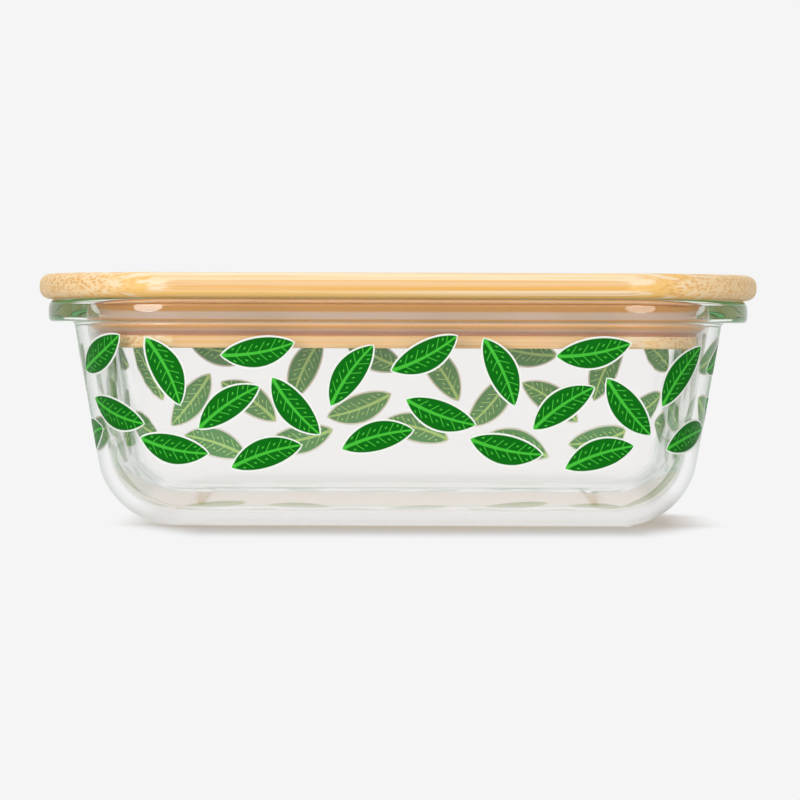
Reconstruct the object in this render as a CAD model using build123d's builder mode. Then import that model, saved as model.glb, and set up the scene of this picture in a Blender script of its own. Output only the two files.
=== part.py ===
from build123d import *

import os
from itertools import pairwise
from math import cos, radians, tan

# Food storage container: a pressed glass tub and a bamboo lid with a silicone seal.
# Millimetres, +Z up, +X along the long side, origin at the centre of the base.

# Glass tub
tub_height = 66.5
rim_length = 206.0
rim_width = 154.0
rim_height = 6.6
rim_overhang = 7.6
rim_corner_radius = 40.0
rim_top_chamfer = 1.6
rim_bottom_chamfer = 0.8
wall_draft = 10.0
wall_thickness = 3.5
mouth_edge_chamfer = 1.0
floor_thickness = 4.0
base_edge_radius = 22.0
base_edge_margin = 0.98
foot_width = 5.0
foot_height = 0.6
foot_corner_radius = 6.0

# Lid panel: bamboo strips glued side by side, with their grain along X
panel_thickness = 7.4
panel_overhang = 2.5
panel_top_radius = 3.7
panel_bottom_chamfer = 2.0
panel_strip_count = 7

# Lid plug: two plies of strips glued under the panel, with a groove for the seal
plug_depth = 14.0
plug_upper_ply = 7.0
plug_gap = 2.5
plug_edge_chamfer = 0.6
plug_upper_strip_count = 6
plug_lower_strip_count = 7
groove_depth = 2.0
land_height = 3.6

# Silicone seal: a band in the groove with two lips that lean up and out to the glass
seal_clearance = 0.3
lip_thickness = 1.6
lip_rise = 2.4
lower_lip_height = 0.7
upper_lip_height = 5.3

# Sizes, heights and slopes that follow from those above
rim_underside = tub_height - rim_height
plug_bottom = tub_height - plug_depth
ply_joint = tub_height - plug_upper_ply
groove_bottom = plug_bottom + land_height
draft_slope = tan(radians(wall_draft))
wall_run = wall_thickness / cos(radians(wall_draft))
panel_length = rim_length + 2 * panel_overhang
panel_width = rim_width + 2 * panel_overhang


def wall_inset(z):
    """Distance from the rim's outer edge in to the outer wall at height z."""
    return rim_overhang + (rim_underside - z) * draft_slope


def wall_outline(z, depth=0.0):
    """Rounded rectangle that lies the depth inside the outer wall at height z."""
    inset = wall_inset(z) + depth
    RectangleRounded(rim_length - 2 * inset, rim_width - 2 * inset, rim_corner_radius - inset)


# The base edge's arc starts this share of its radius from the corner of the wall and the floor,
# and it is kept small enough to turn the tub's corners
arc_setback = 1 / tan(radians(45 + wall_draft / 2))
largest_base_edge = (rim_corner_radius - wall_inset(0)) / arc_setback
base_edge = min(base_edge_radius, base_edge_margin * largest_base_edge)
cavity_edge = base_edge - wall_thickness

# The foot, the plug and the seal's groove
recess_inset = wall_inset(0) + base_edge * arc_setback + foot_width
recess_length = rim_length - 2 * recess_inset
recess_width = rim_width - 2 * recess_inset
plug_inset = wall_inset(plug_bottom) + wall_run + plug_gap
plug_length = rim_length - 2 * plug_inset
plug_width = rim_width - 2 * plug_inset
plug_corner_radius = rim_corner_radius - plug_inset
groove_length = plug_length - 2 * groove_depth
groove_width = plug_width - 2 * groove_depth
groove_corner_radius = plug_corner_radius - groove_depth


def lip_reach(height):
    """Distance from the groove's floor out to the lip's edge, at a height above its bottom."""
    glass = wall_inset(groove_bottom + height) + wall_run
    return plug_inset + groove_depth - glass - seal_clearance


os.makedirs("parts", exist_ok=True)

# The food space, with its rounded floor edge
with BuildPart() as cavity:
    with BuildSketch(Plane.XY.offset(floor_thickness)):
        wall_outline(floor_thickness, wall_run)
    extrude(amount=tub_height - floor_thickness, taper=-wall_draft)
    fillet(cavity.edges().group_by(Axis.Z)[0], cavity_edge)

with BuildPart() as glass_tub:
    # Drafted body with its large rounded base edge
    with BuildSketch(Plane.XY):
        wall_outline(0)
    extrude(amount=tub_height, taper=-wall_draft)
    fillet(glass_tub.edges().group_by(Axis.Z)[0], base_edge)

    # Rim flange with its eased edges
    with BuildSketch(Plane.XY.offset(rim_underside)):
        RectangleRounded(rim_length, rim_width, rim_corner_radius)
    extrude(amount=rim_height)
    chamfer(glass_tub.edges().group_by(Axis.Z)[-1], rim_top_chamfer)
    underside = glass_tub.faces().filter_by(Plane.XY).sort_by(Axis.Z)[1]
    chamfer(underside.outer_wire().edges(), rim_bottom_chamfer)

    # Hollow, mouth edge and the shallow recess inside the foot
    add(cavity.part, mode=Mode.SUBTRACT)
    rim_top = glass_tub.faces().filter_by(Plane.XY).sort_by(Axis.Z)[-1]
    chamfer(rim_top.inner_wires()[0].edges(), mouth_edge_chamfer)
    with BuildSketch(Plane.XY):
        RectangleRounded(recess_length, recess_width, foot_corner_radius)
    extrude(amount=foot_height, mode=Mode.SUBTRACT)

glass_tub.part.label = "glass_tub"
export_step(glass_tub.part, "parts/glass_tub.step")

# The panel, one board with a rounded top edge and an eased bottom edge
with BuildPart() as panel_board:
    with BuildSketch(Plane.XY.offset(tub_height)):
        RectangleRounded(panel_length, panel_width, rim_corner_radius + panel_overhang)
    extrude(amount=panel_thickness)
    fillet(panel_board.edges().group_by(Axis.Z)[-1], panel_top_radius)
    chamfer(panel_board.edges().group_by(Axis.Z)[0], panel_bottom_chamfer)

# The plug's two plies, each as one board before it is cut into strips
with BuildPart() as plug_upper_board:
    with BuildSketch(Plane.XY.offset(ply_joint)):
        RectangleRounded(groove_length, groove_width, groove_corner_radius)
    extrude(amount=plug_upper_ply)

with BuildPart() as plug_lower_board:
    with BuildSketch(Plane.XY.offset(plug_bottom)):
        RectangleRounded(plug_length, plug_width, plug_corner_radius)
    extrude(amount=land_height)
    chamfer(plug_lower_board.edges().group_by(Axis.Z)[0], plug_edge_chamfer)
    with BuildSketch(Plane.XY.offset(groove_bottom)):
        RectangleRounded(groove_length, groove_width, groove_corner_radius)
    extrude(amount=ply_joint - groove_bottom)


def glue_joints(width, count):
    """The y of the joints between strips of one width that fill a board."""
    return [width * (index / count - 0.5) for index in range(1, count)]


def cut_strips(board, joints, name):
    """Cuts a board at its glue joints and writes each strip as its own piece."""
    sides = [-panel_width, *joints, panel_width]
    for number, (near, far) in enumerate(pairwise(sides), start=1):
        with BuildPart() as strip:
            add(board.part)
            with BuildSketch(Plane.XY.offset(plug_bottom)):
                with Locations((0, (near + far) / 2)):
                    Rectangle(panel_length, far - near)
            extrude(amount=plug_depth + panel_thickness, mode=Mode.INTERSECT)
        strip.part.label = f"{name}_{number}"
        export_step(strip.part, f"parts/{strip.part.label}.step")


cut_strips(panel_board, glue_joints(panel_width, panel_strip_count), "panel_strip")
cut_strips(plug_upper_board, glue_joints(plug_width, plug_upper_strip_count), "plug_upper_strip")
cut_strips(plug_lower_board, glue_joints(plug_width, plug_lower_strip_count), "plug_lower_strip")

with BuildPart() as silicone_seal:
    # The band runs once round the groove's floor
    with BuildSketch(Plane.XY.offset(groove_bottom), mode=Mode.PRIVATE) as groove_floor:
        RectangleRounded(groove_length, groove_width, groove_corner_radius)
    band_path = groove_floor.sketch.wire()
    along = band_path % 0
    outward = along.cross(Vector(0, 0, 1))
    # Section of the band, x out from the groove's floor and y up from its bottom
    band_height = tub_height - groove_bottom
    outline = [(0, 0), (groove_depth, 0)]
    for root in (lower_lip_height, upper_lip_height):
        tip = root + lip_rise
        outline += [
            (groove_depth, root),
            (lip_reach(tip), tip),
            (groove_depth, root + lip_thickness),
        ]
    outline += [(groove_depth, band_height), (0, band_height)]
    with BuildSketch(Plane(origin=band_path @ 0, x_dir=outward, z_dir=-along)):
        with BuildLine():
            Polyline(*outline, close=True)
        make_face()
    sweep(path=band_path)

silicone_seal.part.label = "silicone_seal"
export_step(silicone_seal.part, "parts/silicone_seal.step")
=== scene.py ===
import math

import bmesh
import bpy
from mathutils import Matrix, Vector


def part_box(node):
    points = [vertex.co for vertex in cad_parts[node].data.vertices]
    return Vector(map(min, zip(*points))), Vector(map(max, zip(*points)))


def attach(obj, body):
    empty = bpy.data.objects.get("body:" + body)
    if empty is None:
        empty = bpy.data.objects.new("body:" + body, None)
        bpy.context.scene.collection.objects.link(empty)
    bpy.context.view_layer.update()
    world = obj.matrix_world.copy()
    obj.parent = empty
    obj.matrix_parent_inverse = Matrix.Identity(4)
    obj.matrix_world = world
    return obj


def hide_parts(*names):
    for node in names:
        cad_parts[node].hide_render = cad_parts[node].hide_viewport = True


bl_info = {
    "name": "Glass Food Container",
    "version": (1, 0, 0),
    "blender": (4, 5, 0),
    "location": "View3D > Sidebar > Food Container",
    "description": "Models a printed glass food tub with a bamboo lid, and its studio",
    "category": "Add Mesh",
}

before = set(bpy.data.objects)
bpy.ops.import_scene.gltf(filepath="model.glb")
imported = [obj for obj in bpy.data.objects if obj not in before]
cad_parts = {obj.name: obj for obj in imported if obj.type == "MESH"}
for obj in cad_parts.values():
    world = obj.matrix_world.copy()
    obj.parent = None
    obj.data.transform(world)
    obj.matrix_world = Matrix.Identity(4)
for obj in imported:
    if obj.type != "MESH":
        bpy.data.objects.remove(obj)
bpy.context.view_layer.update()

MM = 0.001
UP = Vector((0, 0, 1))

# The rim, a middle strip of the panel and of each of the plug's plies, and the seal, as the frame has them
rim_half_length, rim_half_width, tub_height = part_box("glass_tub")[1]
panel_low, panel_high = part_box("panel_strip_4")
upper_low, upper_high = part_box("plug_upper_strip_3")
lower_low, lower_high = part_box("plug_lower_strip_4")
seal_low, seal_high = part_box("silicone_seal")
PANEL_STRIPS = 7
UPPER_STRIPS = 6
LOWER_STRIPS = 7

# Air under the foot, and between the rim and the panel that lies on it
AIR_FILM = 0.06 * MM
# An edge looks sharp where its faces meet at more than this angle
SHARP_ANGLE = math.radians(35)
# Points this near to each other become one point, in a swept shape and in a leaf
MERGE_DISTANCE = 0.001 * MM
LEAF_MERGE_DISTANCE = 0.01 * MM

# How far a section's flat end reaches past the rounding next to it
END_FLAT = 0.5 * MM
# Eased edges of the rim, and how its outer face leans in below and above its widest place
RIM_ROOT_EASE = 1.2 * MM
RIM_EDGE_EASE = 1.1 * MM
RIM_WIDEST_EASE = 1.2 * MM
RIM_WIDEST_DEPTH = 3.6 * MM
RIM_LEAN_BELOW = 0.3 * MM
RIM_LEAN_ABOVE = 0.45 * MM
MOUTH_EASE = 1.1 * MM
# Slope at the edge of the recess inside the foot, with a flat and an eased corner at each end
RECESS_SLOPE = 4.6 * MM
RECESS_OUTER_FLAT = 3 * MM
RECESS_INNER_FLAT = 1.2 * MM
RECESS_EDGE_EASE = 2 * MM
RECESS_FLOOR_EASE = MM

# How wide a ring of a ply is swept before its middle is filled, and the eased edge under the seal
RING_WIDTH = 6 * MM
LAND_EASE = 0.3 * MM
# Eased corners of a lip: under its root, at its edge and above its root
LIP_ROOT_EASE = 0.3 * MM
LIP_TIP_EASE = 0.25 * MM
LIP_BACK_EASE = 0.4 * MM

# Heights between which light trapped in the glass turns from the base's tint to the rim's
BASE_TINT_END = 20 * MM
RIM_TINT_START = 35 * MM
# Depths under the rim's top where the tint of its top starts and is full
TOP_TINT_START = 1.8 * MM
TOP_TINT_FULL = 1.5 * MM

# How often the bamboo's features come in a metre, along a strip and across it
WANDER_SCALE = (9, 60)
BUNDLE_SCALE = (9, 1120)
BAND_SCALE = (2, 520)
FIBRE_SCALE = (40, 3600)
PATCH_SCALE = (14, 130)
# How far the grain of one strip may lie from that of another, in metres
STRIP_SHIFT = 3.0
# How far the bundles wander, in gaps between bundles
BUNDLE_WANDER = 0.35
# How far from the middle of a strip its knuckle may lie, and how much the knuckle bends, in metres
KNUCKLE_REACH = 0.11
KNUCKLE_BEND = 0.0016
# How often the silicone's clouds come in a metre, level and upwards
CLOUD_SCALE = (60, 60, 400)

# A leaf's half width falls along it with (1 - its share of the half length squared) to this power
LEAF_POWER = 0.8
# Its midrib's bend, as the sideways offset over the square of the distance from the leaf's middle
LEAF_BEND = 9.0
# Midrib: half its width at the leaf's middle, in mm, and how much that narrows for each mm along
RIB_HALF_WIDTH = 0.34
RIB_TAPER = 0.012
# Side veins: half the gap between two and how far out they fade and end, in mm, and their slant
VEIN_HALF_GAP = 1.7
VEIN_FADE = 2.5
VEIN_END = 2.9
VEIN_SLANT = 0.85
# How far the dots lie from the midrib, in mm
DOT_ROW = 1.75
# One repeat of the design: how far along in parts, how far above the middle in mm, and the turn in degrees
REPEAT_PARTS = 96
LEAF_REPEAT = (
    (8, 13, 28), (30, 9, -65), (56, 14, 10), (82, 8, 55), (12, -4, -20),
    (47, -1, 35), (66, -2, -50), (90, -10, 15), (31, -14, -12), (58, -15, 18),
)
# The enamel's back lies just inside the glass's surface, and its face stands just outside
ENAMEL_THICKNESS = 0.08 * MM
ENAMEL_DEPTH = -0.03 * MM

# The shadow's core under the tub: its middle, its half size, and how fast it fades in x and y
SHADOW_MIDDLE = (0.006, 0.0, 0.0)
SHADOW_CORE = (0.062, 0.036, 0.0)
SHADOW_FADE = (3.0, 1.0, 0.0)
FLOOR_HALF_SIZE = 1.5
# Strength of the plain room's light on the object
ROOM_LIGHT = 0.5

# Lamps: name, place, size and power
LAMPS = (
    ("top_lamp", (-0.2, 0.45, 1.2), 0.7, 5.0),
    ("left_lamp", (-0.5, -0.88, 0.24), 0.42, 4.4),
    ("right_lamp", (0.41, -0.93, 0.24), 0.42, 2.7),
)
LAMP_AIM = Vector((0, 0, 0.04))

# How far the camera stands to the right, and its tilt and roll in degrees
CAMERA_SIDE = 0.6 * MM
CAMERA_TILT = 0.767
CAMERA_ROLL = -0.17

# Sockets of a Mix node that blends colours
MIX_SHARE = 0
MIX_FIRST = 6
MIX_SECOND = 7
MIX_RESULT = 2
# How nodes are laid out in their editor
NODES_IN_ROW = 8
NODE_WIDTH = 200
NODE_HEIGHT = 260


def srgb(red, green, blue):
    """A colour given as 0 to 255 display values, in Blender's linear values."""
    shares = [value / 255 for value in (red, green, blue)]
    return tuple(v / 12.92 if v <= 0.04045 else ((v + 0.055) / 1.055) ** 2.4 for v in shares)


# Settings that a user would change


def length(name, description, default):
    """A length that a user can set."""
    return bpy.props.FloatProperty(
        name=name, description=description, default=default, min=0, unit="LENGTH", subtype="DISTANCE"
    )


def colour(name, description, default):
    """A colour that a user can set."""
    return bpy.props.FloatVectorProperty(
        name=name, description=description, default=default, size=3, min=0, max=1, subtype="COLOR"
    )


class TubSettings(bpy.types.PropertyGroup):
    corner_radius: length("Corner Radius", "Radius of the rim's corners, seen from above", 40 * MM)
    rim_height: length("Rim Height", "Height of the flange round the mouth", 6.6 * MM)
    rim_overhang: length("Rim Overhang", "How far the flange stands out from the wall", 7.6 * MM)
    rim_rounding: length("Rim Rounding", "Rounding of the flange's upper outer edge", 1.9 * MM)
    wall_thickness: length("Wall Thickness", "Thickness of the pressed glass wall", 3.5 * MM)
    floor_thickness: length("Floor Thickness", "Thickness of the floor", 4 * MM)
    base_edge_radius: length("Base Edge Radius", "Radius that joins the walls to the base", 22 * MM)
    foot_width: length("Foot Width", "Width of the ring that the tub stands on", 5 * MM)
    foot_height: length("Foot Height", "Depth of the recess inside the foot", 0.6 * MM)
    foot_corner_radius: length("Foot Corner Radius", "Corner radius of the recess", 6 * MM)
    wall_draft: bpy.props.FloatProperty(
        name="Wall Draft",
        description="Lean of the walls from the vertical",
        default=math.radians(10),
        unit="ROTATION",
        subtype="ANGLE",
    )
    glass_tint: colour("Glass Tint", "Colour that light takes on in the glass", (0.985, 0.985, 0.985))
    # The trapped and top tints are painted: a reflection of the print's green, and a lighter tint by the
    # rim's top
    painted_trapped_green: colour(
        "Trapped Tint", "Colour of light that has bounced round in the glass", (0.1, 0.31, 0.1)
    )
    base_tint: colour("Base Tint", "Colour of such light in the base", (0.97, 0.97, 0.97))
    painted_top_tint: colour("Top Tint", "Colour of such light where it leaves by the rim's top", (0.44, 0.88, 0.8))
    # Painted shade, in the glass's own green, on the walls and rim where they are seen edge on
    edge_shade_tint: colour("Edge Tint", "Colour of the walls seen edge on", (0.25, 0.33, 0.25))
    rim_edge_shade_tint: colour("Rim Tint", "Colour of the rim seen edge on", (0.38, 0.54, 0.4))


class LidSettings(bpy.types.PropertyGroup):
    panel_rounding: length("Panel Rounding", "Rounding of the panel's edge, top and bottom", 3.1 * MM)
    plug_rounding: length("Plug Rounding", "Rounding of the plug's bottom edge", 0.7 * MM)
    land_height: length("Land Height", "Height of the plug's edge under the seal", 3.6 * MM)
    pale_bamboo: colour("Pale Bamboo", "Lighter tone of the strips", srgb(253, 229, 190))
    warm_bamboo: colour("Warm Bamboo", "Darker tone of the strips", srgb(245, 188, 72))
    bundle_brown: colour("Bundle Brown", "Colour of the fibre bundles", srgb(222, 160, 76))


class SealSettings(bpy.types.PropertyGroup):
    lip_thickness: length("Lip Thickness", "Thickness of a lip at its root", 1.6 * MM)
    lip_rise: length("Lip Rise", "How far a lip's edge stands above its root", 2.4 * MM)
    lower_lip: length("Lower Lip", "Height of the lower lip's root in the groove", 0.7 * MM)
    upper_lip: length("Upper Lip", "Height of the upper lip's root in the groove", 5.3 * MM)
    clearance: length("Clearance", "Gap between the lips and the glass", 0.3 * MM)
    # The thin colour is the wood seen through the seal, painted on, and the shaded colour is painted shade in
    # the groove
    silicone: colour("Silicone", "Colour of the seal's thick lips", srgb(252, 232, 218))
    thin_silicone_painted_wood: colour("Thin Silicone", "Colour of the seal where it is thin", srgb(246, 185, 106))
    shaded_silicone: colour(
        "Shaded Silicone", "Colour of the seal at the bottom of its groove", srgb(178, 104, 52)
    )


class PrintSettings(bpy.types.PropertyGroup):
    leaf_length: length("Leaf Length", "Length of a leaf from stem to point", 22 * MM)
    leaf_width: length("Leaf Width", "Width of a leaf at its widest", 9.4 * MM)
    halo_width: length("Halo Width", "Width of the pale edge round a leaf", 0.55 * MM)
    band_middle: length("Band Middle", "Height of the middle of the printed band", 37 * MM)
    repeats: bpy.props.IntProperty(
        name="Repeats", description="How often the design is repeated round the tub", default=6, min=1
    )
    leaf_green: colour("Leaf Green", "Main colour of the leaves", srgb(0, 103, 8))
    vein_green: colour("Vein Green", "Colour of the veins and dots", srgb(66, 186, 54))
    back_green: colour("Back Green", "Colour of the print seen from behind", srgb(84, 162, 92))
    back_vein: colour("Back Vein", "Colour of the veins seen from behind", srgb(184, 232, 140))
    halo_white: colour("Halo White", "Colour of the pale edge", srgb(236, 240, 234))


class StudioSettings(bpy.types.PropertyGroup):
    backdrop: colour("Backdrop", "Colour of the backdrop", srgb(245, 245, 245))
    floor_tone: colour("Floor Tone", "Colour of the floor", srgb(242, 245, 252))
    camera_distance: length("Camera Distance", "Distance of the camera from the tub's centre", 1.227)
    camera_height: length("Camera Height", "Height of the camera above the table", 53 * MM)
    lens: bpy.props.FloatProperty(
        name="Lens", description="Focal length of the camera", default=181.6,
        unit="CAMERA", subtype="DISTANCE_CAMERA",
    )


# Shapes swept round the tub's corners, which share their centres


def wall_x(z):
    """Place of the wall's outer face on the long axis, at height z."""
    tub = bpy.context.scene.container_tub
    rim_underside = tub_height - tub.rim_height
    return rim_half_length - tub.rim_overhang - (rim_underside - z) * math.tan(tub.wall_draft)


def inner_wall_x(z):
    """Place of the wall's inner face on the long axis, at height z."""
    tub = bpy.context.scene.container_tub
    return wall_x(z) - tub.wall_thickness / math.cos(tub.wall_draft)


def corner_centre():
    """Where the corners of every outline turn, in the first quadrant."""
    tub = bpy.context.scene.container_tub
    return rim_half_length - tub.corner_radius, rim_half_width - tub.corner_radius


def draw_section(bm, corners, hold=0.25 * MM):
    """Draws the outline of a section at its right-hand side and rounds its corners.

    A corner is (x, z, setback, segments), where the rounding starts the setback away from the corner.
    The outline has a point on each side of a rounding, which stays the hold away from it."""
    turn_y = corner_centre()[1]
    places = [Vector((corner[0], -turn_y, corner[1])) for corner in corners]
    chain = []
    rounded = []
    for number, (place, corner) in enumerate(zip(places, corners)):
        setback, segments = corner[2:]
        if not setback:
            chain.append(bm.verts.new(place))
            continue
        before, after = (
            place + (places[neighbour] - place).normalized() * (setback + hold)
            for neighbour in (number - 1, number + 1)
        )
        chain += [bm.verts.new(point) for point in (before, place, after)]
        rounded.append((chain[-2], setback, segments))
    for first, second in zip(chain, chain[1:]):
        bm.edges.new((first, second))
    for vertex, setback, segments in rounded:
        bmesh.ops.bevel(
            bm, geom=[vertex], offset=setback, offset_type="OFFSET", affect="VERTICES",
            segments=segments, profile=0.5, material=-1,
        )
    return bm.verts[:] + bm.edges[:]


def sweep_round(bm, section, turn_x, turn_y, steps=20, hold=0.5 * MM):
    """Sweeps a section from the right-hand side once round four corners.

    Each side starts and ends with a short face, the hold long, so that the sides stay flat."""
    corners = [Vector((x * turn_x, y * turn_y, 0)) for x, y in ((1, -1), (1, 1), (-1, 1), (-1, -1))]
    for first, second in zip(corners, corners[1:] + corners[:1]):
        side = second - first
        start = side.normalized() * hold
        for part in (start, side - 2 * start, start):
            section = bmesh.ops.spin(bm, geom=section, axis=UP, dvec=part, steps=1)["geom_last"]
        section = bmesh.ops.spin(
            bm, geom=section, cent=second, axis=UP, angle=math.pi / 2, steps=steps
        )["geom_last"]
    bmesh.ops.remove_doubles(bm, verts=bm.verts, dist=MERGE_DISTANCE)


def everything(bm):
    """All of a mesh's points, edges and faces."""
    return bm.verts[:] + bm.edges[:] + bm.faces[:]


def close_ends(bm):
    """Closes every open outline with a flat face, and turns the faces outwards."""
    open_edges = [edge for edge in bm.edges if edge.is_boundary]
    bmesh.ops.holes_fill(bm, edges=open_edges, sides=0)
    bmesh.ops.recalc_face_normals(bm, faces=bm.faces)


def join(bm, part):
    """Moves the faces of one mesh into another."""
    mesh = bpy.data.meshes.new("part")
    part.to_mesh(mesh)
    part.free()
    bm.from_mesh(mesh)
    bpy.data.meshes.remove(mesh)


def add_piece(bm, name, body, material, replaced=()):
    """Makes the mesh a piece of the object that rides on a body of the frame."""
    mesh = bpy.data.meshes.new(name)
    bm.to_mesh(mesh)
    bm.free()
    mesh.shade_smooth()
    mesh.set_sharp_from_angle(angle=SHARP_ANGLE)
    mesh.materials.append(material)
    piece = bpy.data.objects.new(name, mesh)
    bpy.context.scene.collection.objects.link(piece)
    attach(piece, body)
    if replaced:
        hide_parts(*replaced)
    return piece


# Materials


def add_node(tree, kind, inputs=None, **settings):
    """Adds a node, and sets its inputs to values or links them to other nodes' outputs."""
    node = tree.nodes.new(kind)
    row, column = divmod(len(tree.nodes) - 1, NODES_IN_ROW)
    node.location = (NODE_WIDTH * column, -NODE_HEIGHT * row)
    for name, value in settings.items():
        setattr(node, name, value)
    for key, value in (inputs or {}).items():
        if isinstance(value, bpy.types.NodeSocket):
            tree.links.new(value, node.inputs[key])
        else:
            node.inputs[key].default_value = value
    return node


def calculate(tree, operation, *values):
    """The result of a Math node."""
    return add_node(tree, "ShaderNodeMath", dict(enumerate(values)), operation=operation).outputs[0]


def calculate_vector(tree, operation, *values):
    """The vector that a Vector Math node gives."""
    return add_node(tree, "ShaderNodeVectorMath", dict(enumerate(values)), operation=operation).outputs[0]


def split_vector(tree, vector):
    """The X, Y and Z of a vector."""
    return add_node(tree, "ShaderNodeSeparateXYZ", {0: vector}).outputs


def ramp(tree, value, low, high):
    """0 at the low value and 1 at the high value, with a soft change between them."""
    inputs = {"Value": value, "From Min": low, "From Max": high}
    return add_node(tree, "ShaderNodeMapRange", inputs, interpolation_type="SMOOTHSTEP").outputs[0]


def between(tree, share, low, high):
    """The low value at a share of 0 and the high value at a share of 1."""
    return calculate(tree, "MULTIPLY_ADD", share, high - low, low)


def add_noise(tree, place, detail):
    """A noise texture whose place is already scaled."""
    return add_node(tree, "ShaderNodeTexNoise", {"Vector": place, "Scale": 1.0, "Detail": detail}).outputs


def blend_colours(tree, share, first, second, blend_type="MIX"):
    """The first colour, blended with a share of the second."""
    inputs = {MIX_SHARE: share, MIX_FIRST: first, MIX_SECOND: second}
    node = add_node(tree, "ShaderNodeMix", inputs, data_type="RGBA", blend_type=blend_type)
    return node.outputs[MIX_RESULT]


def mix_shaders(tree, share, first, second):
    """The first shader at a share of 0 and the second at a share of 1."""
    shaders = {0: share, 1: first, 2: second}
    return add_node(tree, "ShaderNodeMixShader", shaders).outputs[0]


def seen_rays(tree):
    """1 for rays by which a thing is seen, directly, in a reflection or through glass."""
    path = add_node(tree, "ShaderNodeLightPath").outputs
    direct = calculate(tree, "MAXIMUM", path["Is Camera Ray"], path["Is Transmission Ray"])
    return calculate(tree, "MAXIMUM", direct, path["Is Glossy Ray"])


def opaque(rgb):
    return (*rgb, 1)


def new_group(name, inputs, outputs):
    """A shader node group with named float, colour or vector inputs and outputs."""
    group = bpy.data.node_groups.new(name, "ShaderNodeTree")
    for in_out, sockets in (("INPUT", inputs), ("OUTPUT", outputs)):
        for socket_name, kind in sockets:
            group.interface.new_socket(socket_name, in_out=in_out, socket_type=f"NodeSocket{kind}")
    return group, add_node(group, "NodeGroupInput"), add_node(group, "NodeGroupOutput")


def new_material(name):
    """A material, its node tree and its Principled BSDF."""
    material = bpy.data.materials.new(name)
    material.use_nodes = True
    return material, material.node_tree, material.node_tree.nodes["Principled BSDF"]


def stretch(tree, place, scale):
    """A place scaled by one number along the strips and by another across them."""
    along, across = scale
    return calculate_vector(tree, "MULTIPLY", place, (along, across, across))


def band_warmth(group, given, place, up, side):
    """How warm the wood is: bands on a board's sides, more of them low down, and a little on its ends."""
    board = {"Value": up, "From Min": given["Low"], "From Max": given["High"]}
    up_board = add_node(group, "ShaderNodeMapRange", board).outputs[0]
    broad = add_noise(group, stretch(group, place, BAND_SCALE), 4.0)[0]
    biased = calculate(group, "ADD", broad, between(group, up_board, 0.12, -0.02))
    bands = calculate(group, "MULTIPLY", ramp(group, biased, 0.46, 0.6), 0.76)
    side_bands = calculate(group, "MULTIPLY", bands, between(group, side, 0.2, 1.0))
    return calculate(group, "MAXIMUM", side_bands, between(group, side, 0.28, 0.0))


def bundle_dots(group, place, side):
    """1 inside the fibre bundles, which look larger on the ends."""
    wander = add_noise(group, stretch(group, place, WANDER_SCALE), 1.0)["Color"]
    wavy = calculate_vector(group, "MULTIPLY", wander, (BUNDLE_WANDER,) * 3)
    bundle_place = calculate_vector(group, "ADD", stretch(group, place, BUNDLE_SCALE), wavy)
    cells = {"Vector": bundle_place, "Scale": 1.0, "Randomness": 0.8}
    distance = add_node(group, "ShaderNodeTexVoronoi", cells).outputs["Distance"]
    return ramp(group, calculate(group, "ADD", distance, between(group, side, -0.11, 0.0)), 0.46, 0.24)


def knuckle_line(group, along, tone, patches):
    """1 on the slightly bent knuckle that crosses a strip."""
    middle = between(group, tone, -KNUCKLE_REACH, KNUCKLE_REACH)
    bent = calculate(group, "MULTIPLY_ADD", patches, KNUCKLE_BEND, along)
    from_knuckle = calculate(group, "ABSOLUTE", calculate(group, "SUBTRACT", bent, middle))
    return ramp(group, from_knuckle, 2.2 * MM, 0.6 * MM)


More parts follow.
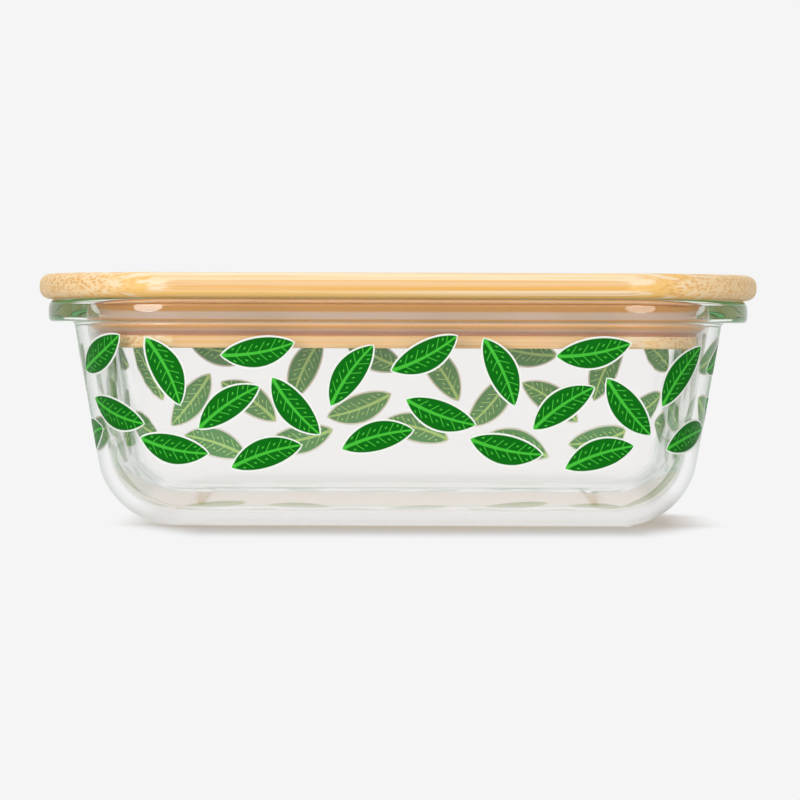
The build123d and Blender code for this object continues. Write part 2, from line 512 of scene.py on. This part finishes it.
def make_bamboo_group():
    """Grain of strips that run along X: fibre bundles show as dots on ends and as streaks on sides."""
    group, start, result = new_group(
        "Bamboo Grain",
        (("Place", "Vector"), ("Strip Width", "Float"), ("Joint Shift", "Float"), ("Low", "Float"),
         ("High", "Float"), ("Pale", "Color"), ("Warm", "Color"), ("Bundle", "Color")),
        (("Color", "Color"), ("Roughness", "Float"), ("Height", "Float")),
    )
    given = start.outputs
    along, across, up = split_vector(group, given["Place"])
    strips = calculate(group, "DIVIDE", across, given["Strip Width"])
    shifted = calculate(group, "ADD", strips, given["Joint Shift"])
    # Each strip has a tone and a grain of its own
    number = calculate(group, "FLOOR", shifted)
    tone = add_node(group, "ShaderNodeTexWhiteNoise", {"W": number}, noise_dimensions="1D").outputs
    own_shift = calculate_vector(group, "MULTIPLY", tone["Color"], (STRIP_SHIFT,) * 3)
    place = calculate_vector(group, "ADD", given["Place"], own_shift)
    # 1 on the sides of a board and 0 on its ends
    normal = add_node(group, "ShaderNodeNewGeometry").outputs["Normal"]
    side = ramp(group, calculate(group, "ABSOLUTE", split_vector(group, normal)["X"]), 0.7, 0.2)

    warmth = band_warmth(group, given, place, up, side)
    base = blend_colours(group, warmth, given["Pale"], given["Warm"])
    toned = blend_colours(group, 1.0, base, between(group, tone["Value"], 0.93, 1.03), "MULTIPLY")
    # The bundles are stronger in patches and on the ends
    patches = add_noise(group, stretch(group, place, PATCH_SCALE), 1.0)[0]
    patchy = calculate(group, "MULTIPLY", ramp(group, patches, 0.35, 0.7), 0.35)
    strength = calculate(group, "ADD", patchy, between(group, side, 0.42, 0.3))
    dots = bundle_dots(group, place, side)
    dotted = blend_colours(group, calculate(group, "MULTIPLY", dots, strength), toned, given["Bundle"])
    fibres = ramp(group, add_noise(group, stretch(group, place, FIBRE_SCALE), 2.0)[0], 0.3, 0.75)
    grained = blend_colours(group, calculate(group, "MULTIPLY", fibres, 0.12), dotted, given["Bundle"])

    # A joint shows as a fine dark line, and each strip has one knuckle across it
    joint = ramp(group, calculate(group, "PINGPONG", shifted, 0.5), 0.008, 0.003)
    dark_joint = calculate(group, "MULTIPLY", joint, 0.5)
    knuckle = calculate(group, "MULTIPLY", knuckle_line(group, along, tone["Value"], patches), 0.3)
    marks = calculate(group, "MAXIMUM", dark_joint, knuckle)
    marked = blend_colours(group, marks, grained, given["Bundle"])

    # Fibres, bundles and joints lie a little deeper than the rest
    fibre_depth = calculate(group, "MULTIPLY", fibres, 0.3)
    depth = calculate(group, "ADD", fibre_depth, calculate(group, "MULTIPLY", dots, 0.7))
    height = calculate(group, "SUBTRACT", 1.0, calculate(group, "ADD", depth, joint))
    roughness = between(group, fibres, 0.4, 0.54)
    for name, value in (("Color", marked), ("Roughness", roughness), ("Height", height)):
        group.links.new(value, result.inputs[name])
    return group


def make_bamboo(name, strip_width, joint_shift, low, high):
    """Bamboo of a board between two heights, with its joints moved by a share of a strip."""
    lid = bpy.context.scene.container_lid
    group = bpy.data.node_groups.get("Bamboo Grain") or make_bamboo_group()
    material, tree, shader = new_material(name)
    given = {
        "Place": add_node(tree, "ShaderNodeTexCoord").outputs["Object"],
        "Strip Width": strip_width, "Joint Shift": joint_shift, "Low": low, "High": high,
        "Pale": opaque(lid.pale_bamboo), "Warm": opaque(lid.warm_bamboo), "Bundle": opaque(lid.bundle_brown),
    }
    grain = add_node(tree, "ShaderNodeGroup", given, node_tree=group)
    relief = {"Height": grain.outputs["Height"], "Strength": 0.35, "Distance": 0.06 * MM}
    bump = add_node(tree, "ShaderNodeBump", relief)
    tree.links.new(grain.outputs["Color"], shader.inputs["Base Color"])
    tree.links.new(grain.outputs["Roughness"], shader.inputs["Roughness"])
    tree.links.new(bump.outputs[0], shader.inputs["Normal"])
    shader.inputs["Specular IOR Level"].default_value = 0.3
    return material


def let_light_through(tree, shader, tint):
    """Finishes a clear material so that the light that falls on other surfaces passes it."""
    path = add_node(tree, "ShaderNodeLightPath").outputs
    through = calculate(tree, "MAXIMUM", path["Is Shadow Ray"], path["Is Diffuse Ray"])
    clear = add_node(tree, "ShaderNodeBsdfTransparent", {"Color": opaque(tint)}).outputs[0]
    mixed = mix_shaders(tree, through, shader, clear)
    tree.links.new(mixed, tree.nodes["Material Output"].inputs["Surface"])


def glass_colour(tree, height):
    """The glass's tint: the glass's own green, deepened by painted shade, where upright glass is seen edge
    on.
    """
    tub = bpy.context.scene.container_tub
    rim_underside = tub_height - tub.rim_height
    facing = add_node(tree, "ShaderNodeLayerWeight", {"Blend": 0.5}).outputs["Facing"]
    normal = add_node(tree, "ShaderNodeNewGeometry").outputs["Normal"]
    up = calculate(tree, "ABSOLUTE", split_vector(tree, normal)["Z"])
    # Painted shade: upright glass seen edge on is darkened towards the edge colours
    upright = calculate(tree, "MULTIPLY", ramp(tree, facing, 0.5, 0.95), ramp(tree, up, 0.98, 0.8))
    in_rim = ramp(tree, height, rim_underside - 0.5 * MM, rim_underside)
    edge_shade_colour = blend_colours(tree, in_rim, opaque(tub.edge_shade_tint), opaque(tub.rim_edge_shade_tint))
    return blend_colours(tree, upright, opaque(tub.glass_tint), edge_shade_colour)


def free_trapped_light(tree, height, shader):
    """Lets light out that has bounced once in the base, or three times above it, tinted with a painted
    reflection of the print above the base.
    """
    tub = bpy.context.scene.container_tub
    above_base = ramp(tree, height, BASE_TINT_END, RIM_TINT_START)
    depth = add_node(tree, "ShaderNodeLightPath").outputs["Glossy Depth"]
    trapped = calculate(tree, "GREATER_THAN", depth, between(tree, above_base, 0.5, 2.5))
    # Through the rim's top it meets the lid's shaded wood, so it is let out with a lighter painted tint there
    by_top = ramp(tree, height, tub_height - TOP_TINT_START, tub_height - TOP_TINT_FULL)
    # The trapped light's green is a painted reflection of the print
    green = blend_colours(tree, by_top, opaque(tub.painted_trapped_green), opaque(tub.painted_top_tint))
    out_tint = blend_colours(tree, above_base, opaque(tub.base_tint), green)
    freed = add_node(tree, "ShaderNodeBsdfTransparent", {"Color": out_tint}).outputs[0]
    return mix_shaders(tree, trapped, shader, freed)


def make_glass():
    """Clear pressed glass that lets the lamps' light through to what stands behind it."""
    material, tree, shader = new_material("pressed_glass")
    height = split_vector(tree, add_node(tree, "ShaderNodeTexCoord").outputs["Object"])["Z"]
    tree.links.new(glass_colour(tree, height), shader.inputs["Base Color"])
    shader.inputs["Roughness"].default_value = 0.0
    shader.inputs["IOR"].default_value = 1.47
    shader.inputs["Transmission Weight"].default_value = 1.0
    clear = free_trapped_light(tree, height, shader.outputs[0])
    let_light_through(tree, clear, (0.98, 0.98, 0.98))
    return material


def make_silicone():
    """Milky silicone, with the wood's colour painted between the thick lips, and painted shade at the bottom
    of its groove.
    """
    seal = bpy.context.scene.container_seal
    material, tree, shader = new_material("seal_silicone")
    place = add_node(tree, "ShaderNodeTexCoord").outputs["Object"]
    height = split_vector(tree, place)["Z"]
    # The thick lips are milky, and the thin band between them is painted with the colour of the wood seen
    # through it
    lips = []
    for root in (seal.lower_lip, seal.upper_lip):
        middle = seal_low.z + root + seal.lip_rise / 8
        from_middle = calculate(tree, "ABSOLUTE", calculate(tree, "SUBTRACT", height, middle))
        lips.append(ramp(tree, from_middle, 1.2 * MM, 0.6 * MM))
    milky = calculate(tree, "MAXIMUM", *lips)
    tone = blend_colours(tree, milky, opaque(seal.thin_silicone_painted_wood), opaque(seal.silicone))
    # It is a little cloudy, in streaks that run round it
    cloud = add_noise(tree, calculate_vector(tree, "MULTIPLY", place, CLOUD_SCALE), 2.0)[0]
    shade = ramp(tree, cloud, 0.3, 0.7)
    cloudy = blend_colours(tree, calculate(tree, "MULTIPLY", shade, 0.15), tone, opaque(seal.thin_silicone_painted_wood))
    # Painted shade darkens the seal towards the bottom of its groove
    groove_shade = ramp(tree, height, seal_low.z + 3.2 * MM, seal_low.z + 0.3 * MM)
    shaded = blend_colours(tree, calculate(tree, "MULTIPLY", groove_shade, 0.9), cloudy, opaque(seal.shaded_silicone))
    tree.links.new(shaded, shader.inputs["Base Color"])
    tree.links.new(between(tree, shade, 0.3, 0.36), shader.inputs["Roughness"])
    shader.inputs["IOR"].default_value = 1.41
    shader.inputs["Transmission Weight"].default_value = 0.2
    let_light_through(tree, shader.outputs[0], (1.0, 0.97, 0.94))
    return material


def leaf_marks(tree, along, from_rib):
    """1 on a leaf's midrib, on its slanted side veins, and on a dot in each field between two of them."""
    rib_width = calculate(tree, "MULTIPLY_ADD", along, -RIB_TAPER, RIB_HALF_WIDTH)
    rib = ramp(tree, calculate(tree, "SUBTRACT", from_rib, rib_width), 0.12, 0.0)
    slanted = calculate(tree, "MULTIPLY_ADD", from_rib, -VEIN_SLANT, along)
    vein_place = calculate(tree, "PINGPONG", slanted, VEIN_HALF_GAP)
    veins = ramp(tree, vein_place, 0.22, 0.1)
    inner = ramp(tree, from_rib, VEIN_END, VEIN_FADE)
    drawn_veins = calculate(tree, "MAXIMUM", rib, calculate(tree, "MULTIPLY", veins, inner))
    from_row = calculate(tree, "SUBTRACT", from_rib, DOT_ROW)
    from_field = calculate(tree, "SUBTRACT", vein_place, VEIN_HALF_GAP)
    field_squared = calculate(tree, "MULTIPLY", from_field, from_field)
    distance_squared = calculate(tree, "MULTIPLY_ADD", from_row, from_row, field_squared)
    return calculate(tree, "MAXIMUM", drawn_veins, ramp(tree, distance_squared, 0.14, 0.06))


def leaf_halo(tree, along, from_rib):
    """1 on a leaf's pale edge, worked out in millimetres."""
    leaf = bpy.context.scene.container_print
    half_width = leaf.leaf_width / MM / 2
    half_length = leaf.leaf_length / MM / 2
    halo_width = leaf.halo_width / MM
    share = calculate(tree, "DIVIDE", along, half_length)
    falling = calculate(tree, "SUBTRACT", 1.0, calculate(tree, "MULTIPLY", share, share))
    outline = calculate(tree, "POWER", calculate(tree, "MAXIMUM", falling, 0.0), LEAF_POWER)
    from_edge = calculate(tree, "SUBTRACT", calculate(tree, "MULTIPLY", outline, half_width), from_rib)
    return ramp(tree, from_edge, halo_width + 0.12, halo_width - 0.12)


def make_leaf_enamel():
    """Green enamel: veins, dots and a pale edge drawn in the leaf's own place, and a greyer back."""
    leaf = bpy.context.scene.container_print
    material, tree, shader = new_material("leaf_enamel")
    drawn = add_node(tree, "ShaderNodeAttribute", attribute_name="leaf_place").outputs["Vector"]
    along, across, side = split_vector(tree, drawn)
    from_rib = calculate(tree, "ABSOLUTE", across)
    marks = leaf_marks(tree, along, from_rib)
    front = blend_colours(tree, marks, opaque(leaf.leaf_green), opaque(leaf.vein_green))
    back = blend_colours(tree, marks, opaque(leaf.back_green), opaque(leaf.back_vein))
    sided = blend_colours(tree, ramp(tree, side, -0.5, 0.5), back, front)
    edged = blend_colours(tree, leaf_halo(tree, along, from_rib), sided, opaque(leaf.halo_white))
    tree.links.new(edged, shader.inputs["Base Color"])
    shader.inputs["Roughness"].default_value = 0.4
    shader.inputs["Specular IOR Level"].default_value = 0.1
    return material


def shadow_reach(tree):
    """How far a point of the floor lies past the shadow's core."""
    place = add_node(tree, "ShaderNodeTexCoord").outputs["Object"]
    from_middle = calculate_vector(tree, "SUBTRACT", place, SHADOW_MIDDLE)
    past = calculate_vector(tree, "SUBTRACT", calculate_vector(tree, "ABSOLUTE", from_middle), SHADOW_CORE)
    outside = calculate_vector(tree, "MAXIMUM", past, (0, 0, 0))
    fading = {0: outside, 1: SHADOW_FADE}
    return add_node(tree, "ShaderNodeVectorMath", fading, operation="DOT_PRODUCT").outputs["Value"]


def make_floor_paint(studio):
    """Matt paint that takes the object's shadow, with a painted glow under the tub and where it is seen
    through glass, and fades into the backdrop away from it.
    """
    material, tree, shader = new_material("floor_paint")
    shader.inputs["Base Color"].default_value = opaque(studio.floor_tone)
    shader.inputs["Roughness"].default_value = 0.9
    shader.inputs["Specular IOR Level"].default_value = 0.0
    glow = add_node(tree, "ShaderNodeEmission", {"Color": opaque(studio.backdrop), "Strength": 1.0})
    clear = add_node(tree, "ShaderNodeBsdfTransparent").outputs[0]
    reach = shadow_reach(tree)

    # Under the tub a painted glow stands in for the light that the glass gathers, and seen through glass the
    # floor is painted paler
    painted_caustic_glow = calculate(tree, "MULTIPLY", ramp(tree, reach, 0.006, 0.0), 0.97)
    depth = add_node(tree, "ShaderNodeLightPath").outputs["Transmission Depth"]
    through_glass = calculate(tree, "MINIMUM", depth, 1.0)
    near = between(tree, ramp(tree, reach, 0.06, 0.02), 0.5, 0.85)
    painted_light_share = calculate(tree, "MAXIMUM", painted_caustic_glow, calculate(tree, "MULTIPLY", through_glass, near))
    lit = mix_shaders(tree, painted_light_share, shader.outputs[0], glow.outputs[0])

    # Far out the floor is the backdrop to rays that see it, and is clear to the rest
    faded = mix_shaders(tree, seen_rays(tree), clear, glow.outputs[0])
    mixed = mix_shaders(tree, ramp(tree, reach, 0.025, 0.095), lit, faded)
    # From below, the floor is clear and shows the tub's foot
    below = add_node(tree, "ShaderNodeNewGeometry").outputs["Backfacing"]
    tree.links.new(mix_shaders(tree, below, mixed, clear), tree.nodes["Material Output"].inputs["Surface"])
    return material


# Operators, one for each piece or group of like pieces


class CONTAINER_OT_glass_tub(bpy.types.Operator):
    """Models the pressed glass tub"""

    bl_idname = "container.glass_tub"
    bl_label = "Glass Tub"

    def execute(self, context):
        tub = context.scene.container_tub
        rim_underside = tub_height - tub.rim_height
        # The arcs of the base edge start this share of their radius from their corner
        setback_share = 1 / math.tan(math.radians(45) + tub.wall_draft / 2)
        base_setback = tub.base_edge_radius * setback_share
        floor_setback = (tub.base_edge_radius - tub.wall_thickness) * setback_share
        foot_x = wall_x(0) - base_setback
        floor_x = inner_wall_x(tub.floor_thickness)

        bm = bmesh.new()
        section = draw_section(bm, (
            (foot_x - END_FLAT, AIR_FILM, 0, 0),
            (wall_x(0), AIR_FILM, base_setback, 20),
            (wall_x(rim_underside), rim_underside, RIM_ROOT_EASE, 6),
            (rim_half_length - RIM_LEAN_BELOW, rim_underside, RIM_EDGE_EASE, 6),
            (rim_half_length, tub_height - RIM_WIDEST_DEPTH, RIM_WIDEST_EASE, 4),
            (rim_half_length - RIM_LEAN_ABOVE, tub_height, tub.rim_rounding, 10),
            (inner_wall_x(tub_height), tub_height, MOUTH_EASE, 6),
            (floor_x, tub.floor_thickness, floor_setback, 18),
            (floor_x - floor_setback - END_FLAT, tub.floor_thickness, 0, 0),
        ))
        sweep_round(bm, section, *corner_centre())
        self.add_foot(bm, foot_x)
        close_ends(bm)
        add_piece(bm, "tub_glass", "container", make_glass(), ["glass_tub"])
        return {"FINISHED"}

    def add_foot(self, bm, foot_x):
        """Fills the foot's flat ring round a shallow recess, which has a corner radius of its own."""
        tub = bpy.context.scene.container_tub
        recess_x = foot_x - tub.foot_width
        recess_y = recess_x - rim_half_length + rim_half_width
        turn_x = recess_x - tub.foot_corner_radius
        turn_y = recess_y - tub.foot_corner_radius
        slope_end = recess_x - RECESS_SLOPE
        recess = bmesh.new()
        section = draw_section(recess, (
            (recess_x + RECESS_OUTER_FLAT, AIR_FILM, 0, 0),
            (recess_x, AIR_FILM, RECESS_EDGE_EASE, 8),
            (slope_end, tub.foot_height, RECESS_FLOOR_EASE, 5),
            (slope_end - RECESS_INNER_FLAT, tub.foot_height, 0, 0),
        ))
        # The section is drawn where the tub's corner starts, and moves to where the recess's does
        points = [item for item in section if isinstance(item, bmesh.types.BMVert)]
        bmesh.ops.translate(recess, verts=points, vec=(0, corner_centre()[1] - turn_y, 0))
        sweep_round(recess, section, turn_x, turn_y)

        foot_edge = [edge for edge in bm.edges if edge.is_boundary and edge.verts[0].co.z < MM]
        known = set(bm.edges)
        join(bm, recess)
        recess_edge = [
            edge for edge in bm.edges
            if edge not in known and edge.is_boundary and max(v.co.z for v in edge.verts) < 2 * AIR_FILM
        ]
        bmesh.ops.triangle_fill(bm, edges=foot_edge + recess_edge, use_beauty=True, normal=-UP)


class CONTAINER_OT_leaf_print(bpy.types.Operator):
    """Prints rows of leaves on the outside of the tub's walls"""

    bl_idname = "container.leaf_print"
    bl_label = "Leaf Print"

    def execute(self, context):
        leaf = context.scene.container_print
        turn_x, turn_y = corner_centre()
        turn_radius = wall_x(leaf.band_middle) - turn_x
        repeat_length = (4 * (turn_x + turn_y) + 2 * math.pi * turn_radius) / leaf.repeats

        bm = bmesh.new()
        for repeat in range(leaf.repeats):
            for number, (part, up, turn) in enumerate(LEAF_REPEAT):
                along = (repeat + part / REPEAT_PARTS) * repeat_length
                # Every second leaf bends the other way
                bend = LEAF_BEND * (-1) ** number
                self.add_leaf(bm, along, leaf.band_middle + up * MM, turn, bend, turn_radius)
        add_piece(bm, "leaf_print", "container", make_leaf_enamel())
        return {"FINISHED"}

    def add_leaf(self, bm, along, height, turn, bend, turn_radius):
        """Adds one leaf, bent, turned and laid on the wall."""
        skin, drawn = self.flat_leaf()
        turned = Matrix.Rotation(math.radians(turn), 3, "Z")
        for vertex in skin.verts:
            bent = vertex.co + Vector((0, bend * vertex.co.x ** 2, 0))
            flat = turned @ bent
            depth = ENAMEL_DEPTH if vertex[drawn].z > 0 else ENAMEL_DEPTH + ENAMEL_THICKNESS
            vertex.co = wall_place(along + flat.x, height + flat.y, depth, turn_radius)
        join(bm, skin)

    def flat_leaf(self):
        """A thin closed skin, and its layer that holds each point's place in mm and its side, 1 or -1."""
        leaf = bpy.context.scene.container_print
        skin = bmesh.new()
        bmesh.ops.create_grid(skin, x_segments=22, y_segments=6, size=1)
        for vertex in skin.verts:
            x, y = vertex.co.xy
            spread = max(1 - x ** 2, 0) ** LEAF_POWER
            vertex.co = Vector((x * leaf.leaf_length / 2, y * spread * leaf.leaf_width / 2, 0))
        bmesh.ops.remove_doubles(skin, verts=skin.verts, dist=LEAF_MERGE_DISTANCE)
        bmesh.ops.dissolve_degenerate(skin, edges=skin.edges, dist=LEAF_MERGE_DISTANCE)
        bmesh.ops.solidify(skin, geom=everything(skin), thickness=ENAMEL_THICKNESS)
        bmesh.ops.recalc_face_normals(skin, faces=skin.faces)
        heights = [vertex.co.z for vertex in skin.verts]
        centre = (min(heights) + max(heights)) / 2
        drawn = skin.verts.layers.float_vector.new("leaf_place")
        for vertex in skin.verts:
            side = 1 if vertex.co.z > centre else -1
            vertex[drawn] = Vector((vertex.co.x / MM, vertex.co.y / MM, side))
        return skin, drawn


def wall_place(along, height, depth, turn_radius):
    """The point that lies this far round the wall from the middle of its front, and this deep in it."""
    tub = bpy.context.scene.container_tub
    turn_x, turn_y = corner_centre()
    radius = wall_x(height) - turn_x - depth / math.cos(tub.wall_draft)
    arc = turn_radius * math.pi / 2
    # Sides and corners in turn: length, corner centre, a side's direction, and the turn so far in degrees
    stretches = (
        (turn_x, (0, -turn_y), (1, 0), 0), (arc, (turn_x, -turn_y), None, 0),
        (2 * turn_y, (turn_x, -turn_y), (0, 1), 90), (arc, (turn_x, turn_y), None, 90),
        (2 * turn_x, (turn_x, turn_y), (-1, 0), 180), (arc, (-turn_x, turn_y), None, 180),
        (2 * turn_y, (-turn_x, turn_y), (0, -1), 270), (arc, (-turn_x, -turn_y), None, 270),
        (turn_x, (-turn_x, -turn_y), (1, 0), 0),
    )
    left = along % (4 * (turn_x + turn_y) + 4 * arc)
    for stretch, (x, y), direction, facing in stretches:
        if left <= stretch:
            break
        left -= stretch
    angle = math.radians(facing - 90)
    if direction is None:
        angle += left / turn_radius
    else:
        x += direction[0] * left
        y += direction[1] * left
    return Vector((x + radius * math.cos(angle), y + radius * math.sin(angle), height))


def add_board(corners, name, nodes, count, strip_low, strip_high):
    """Sweeps a board's section round, and adds the board as glued strips in place of their nodes."""
    board = bmesh.new()
    sweep_round(board, draw_section(board, corners), *corner_centre())
    close_ends(board)
    width = strip_high.y - strip_low.y
    # An odd number of strips has a strip in the board's middle, and an even number has a joint there
    joint_shift = count % 2 / 2
    material = make_bamboo(name, width, joint_shift, strip_low.z, strip_high.z)
    for number in range(count):
        strip = board.copy()
        for joint, outward in ((number, -1), (number + 1, 1)):
            if 0 < joint < count:
                bmesh.ops.bisect_plane(
                    strip, geom=everything(strip), plane_co=(0, width * (joint - count / 2), 0),
                    plane_no=(0, outward, 0), clear_outer=True,
                )
        close_ends(strip)
        add_piece(strip, f"{name}_{number + 1}", "lid", material, [f"{nodes}_{number + 1}"])
    board.free()


class CONTAINER_OT_lid_panel(bpy.types.Operator):
    """Models the lid's panel as glued bamboo strips"""

    bl_idname = "container.lid_panel"
    bl_label = "Lid Panel"

    def execute(self, context):
        rounding = context.scene.container_lid.panel_rounding
        inner_x = panel_high.x - 2 * rounding
        bottom = panel_low.z + AIR_FILM
        corners = (
            (inner_x, bottom, 0, 0),
            (panel_high.x, bottom, rounding, 10),
            (panel_high.x, panel_high.z, rounding, 10),
            (inner_x, panel_high.z, 0, 0),
        )
        add_board(corners, "panel_bamboo", "panel_strip", PANEL_STRIPS, panel_low, panel_high)
        return {"FINISHED"}


class CONTAINER_OT_lid_plug(bpy.types.Operator):
    """Models the two plies of the lid's plug as glued bamboo strips"""

    bl_idname = "container.lid_plug"
    bl_label = "Lid Plug"

    def execute(self, context):
        lid = context.scene.container_lid
        groove_bottom = lower_low.z + lid.land_height
        inner_x = upper_high.x - RING_WIDTH
        corners = (
            (inner_x, upper_low.z, 0, 0),
            (upper_high.x, upper_low.z, 0, 0),
            (upper_high.x, upper_high.z, 0, 0),
            (inner_x, upper_high.z, 0, 0),
        )
        add_board(corners, "upper_ply_bamboo", "plug_upper_strip", UPPER_STRIPS, upper_low, upper_high)
        corners = (
            (inner_x, lower_low.z, 0, 0),
            (lower_high.x, lower_low.z, lid.plug_rounding, 5),
            (lower_high.x, groove_bottom, LAND_EASE, 3),
            (upper_high.x, groove_bottom, 0, 0),
            (upper_high.x, lower_high.z, 0, 0),
            (inner_x, lower_high.z, 0, 0),
        )
        add_board(corners, "lower_ply_bamboo", "plug_lower_strip", LOWER_STRIPS, lower_low, lower_high)
        return {"FINISHED"}


class CONTAINER_OT_seal(bpy.types.Operator):
    """Models the silicone seal with its two lips"""

    bl_idname = "container.seal"
    bl_label = "Silicone Seal"

    def execute(self, context):
        seal = context.scene.container_seal
        groove_x = upper_high.x
        face_x = lower_high.x
        corners = [(groove_x, seal_low.z, 0, 0), (face_x, seal_low.z, 0, 0)]
        for root in (seal.lower_lip, seal.upper_lip):
            root_z = seal_low.z + root
            tip_z = root_z + seal.lip_rise
            tip_x = inner_wall_x(tip_z) - seal.clearance
            corners += [
                (face_x, root_z, LIP_ROOT_EASE, 3),
                (tip_x, tip_z, LIP_TIP_EASE, 4),
                (face_x, root_z + seal.lip_thickness, LIP_BACK_EASE, 3),
            ]
        corners += [(face_x, seal_high.z, 0, 0), (groove_x, seal_high.z, 0, 0)]
        bm = bmesh.new()
        section = draw_section(bm, corners, hold=0.05 * MM)
        # The section is a closed outline, so its last edge joins its two ends
        points = [item for item in section if isinstance(item, bmesh.types.BMVert)]
        section.append(bm.edges.new([point for point in points if len(point.link_edges) == 1]))
        sweep_round(bm, section, *corner_centre())
        bmesh.ops.recalc_face_normals(bm, faces=bm.faces)
        add_piece(bm, "seal_silicone", "lid", make_silicone(), ["silicone_seal"])
        return {"FINISHED"}


class CONTAINER_OT_studio(bpy.types.Operator):
    """Sets up the floor, the lamps and the camera"""

    bl_idname = "container.studio"
    bl_label = "Studio"

    def execute(self, context):
        studio = context.scene.container_studio
        self.add_floor(studio)
        self.add_world(context.scene, studio)
        for lamp in LAMPS:
            self.add_lamp(*lamp)
        self.add_camera(context.scene, studio)
        context.scene.view_settings.view_transform = "Standard"
        return {"FINISHED"}

    def add_floor(self, studio):
        bm = bmesh.new()
        bmesh.ops.create_grid(bm, x_segments=1, y_segments=1, size=FLOOR_HALF_SIZE)
        mesh = bpy.data.meshes.new("floor")
        bm.to_mesh(mesh)
        bm.free()
        floor = bpy.data.objects.new("floor", mesh)
        bpy.context.scene.collection.objects.link(floor)
        mesh.materials.append(make_floor_paint(studio))

    def add_world(self, scene, studio):
        """A plain bright room: the backdrop's colour where it is seen, and soft light on the object."""
        world = bpy.data.worlds.new("studio")
        world.use_nodes = True
        scene.world = world
        tree = world.node_tree
        light = tree.nodes["Background"]
        light.inputs["Color"].default_value = (1, 1, 1, 1)
        light.inputs["Strength"].default_value = ROOM_LIGHT
        plain = add_node(tree, "ShaderNodeBackground", {"Color": opaque(studio.backdrop), "Strength": 1.0})
        mixed = mix_shaders(tree, seen_rays(tree), light.outputs[0], plain.outputs[0])
        tree.links.new(mixed, tree.nodes["World Output"].inputs["Surface"])

    def add_lamp(self, name, place, size, power):
        data = bpy.data.lights.new(name, "AREA")
        data.shape = "DISK"
        data.size = size
        data.energy = power
        lamp = bpy.data.objects.new(name, data)
        lamp.location = place
        lamp.visible_transmission = False
        toward = LAMP_AIM - Vector(place)
        lamp.rotation_euler = toward.to_track_quat("-Z", "Y").to_euler()
        bpy.context.scene.collection.objects.link(lamp)

    def add_camera(self, scene, studio):
        data = bpy.data.cameras.new("camera")
        data.lens = studio.lens
        data.clip_start = 0.01
        camera = bpy.data.objects.new("camera", data)
        camera.location = (CAMERA_SIDE, -studio.camera_distance, studio.camera_height)
        camera.rotation_euler = (math.radians(90 - CAMERA_TILT), math.radians(CAMERA_ROLL), 0)
        scene.collection.objects.link(camera)
        scene.camera = camera


class CONTAINER_PT_panel(bpy.types.Panel):
    """Lists the container's pieces and their settings"""

    bl_idname = "CONTAINER_PT_panel"
    bl_label = "Food Container"
    bl_space_type = "VIEW_3D"
    bl_region_type = "UI"
    bl_category = "Food Container"

    def draw(self, context):
        for operator in operators:
            self.layout.operator(operator.bl_idname)
        for group_name in settings_groups:
            settings = getattr(context.scene, group_name)
            box = self.layout.box()
            for name in settings.__annotations__:
                box.prop(settings, name)


settings_groups = {
    "container_tub": TubSettings,
    "container_lid": LidSettings,
    "container_seal": SealSettings,
    "container_print": PrintSettings,
    "container_studio": StudioSettings,
}
operators = (
    CONTAINER_OT_glass_tub,
    CONTAINER_OT_leaf_print,
    CONTAINER_OT_lid_panel,
    CONTAINER_OT_lid_plug,
    CONTAINER_OT_seal,
    CONTAINER_OT_studio,
)


def register():
    for item in (*settings_groups.values(), *operators, CONTAINER_PT_panel):
        bpy.utils.register_class(item)
    for name, group in settings_groups.items():
        setattr(bpy.types.Scene, name, bpy.props.PointerProperty(type=group))


def unregister():
    for name in settings_groups:
        delattr(bpy.types.Scene, name)
    for item in (CONTAINER_PT_panel, *reversed(operators), *reversed(settings_groups.values())):
        bpy.utils.unregister_class(item)


def main():
    register()
    bpy.ops.container.glass_tub()
    bpy.ops.container.leaf_print()
    bpy.ops.container.lid_panel()
    bpy.ops.container.lid_plug()
    bpy.ops.container.seal()
    bpy.ops.container.studio()


if __name__ == "__main__":
    main()
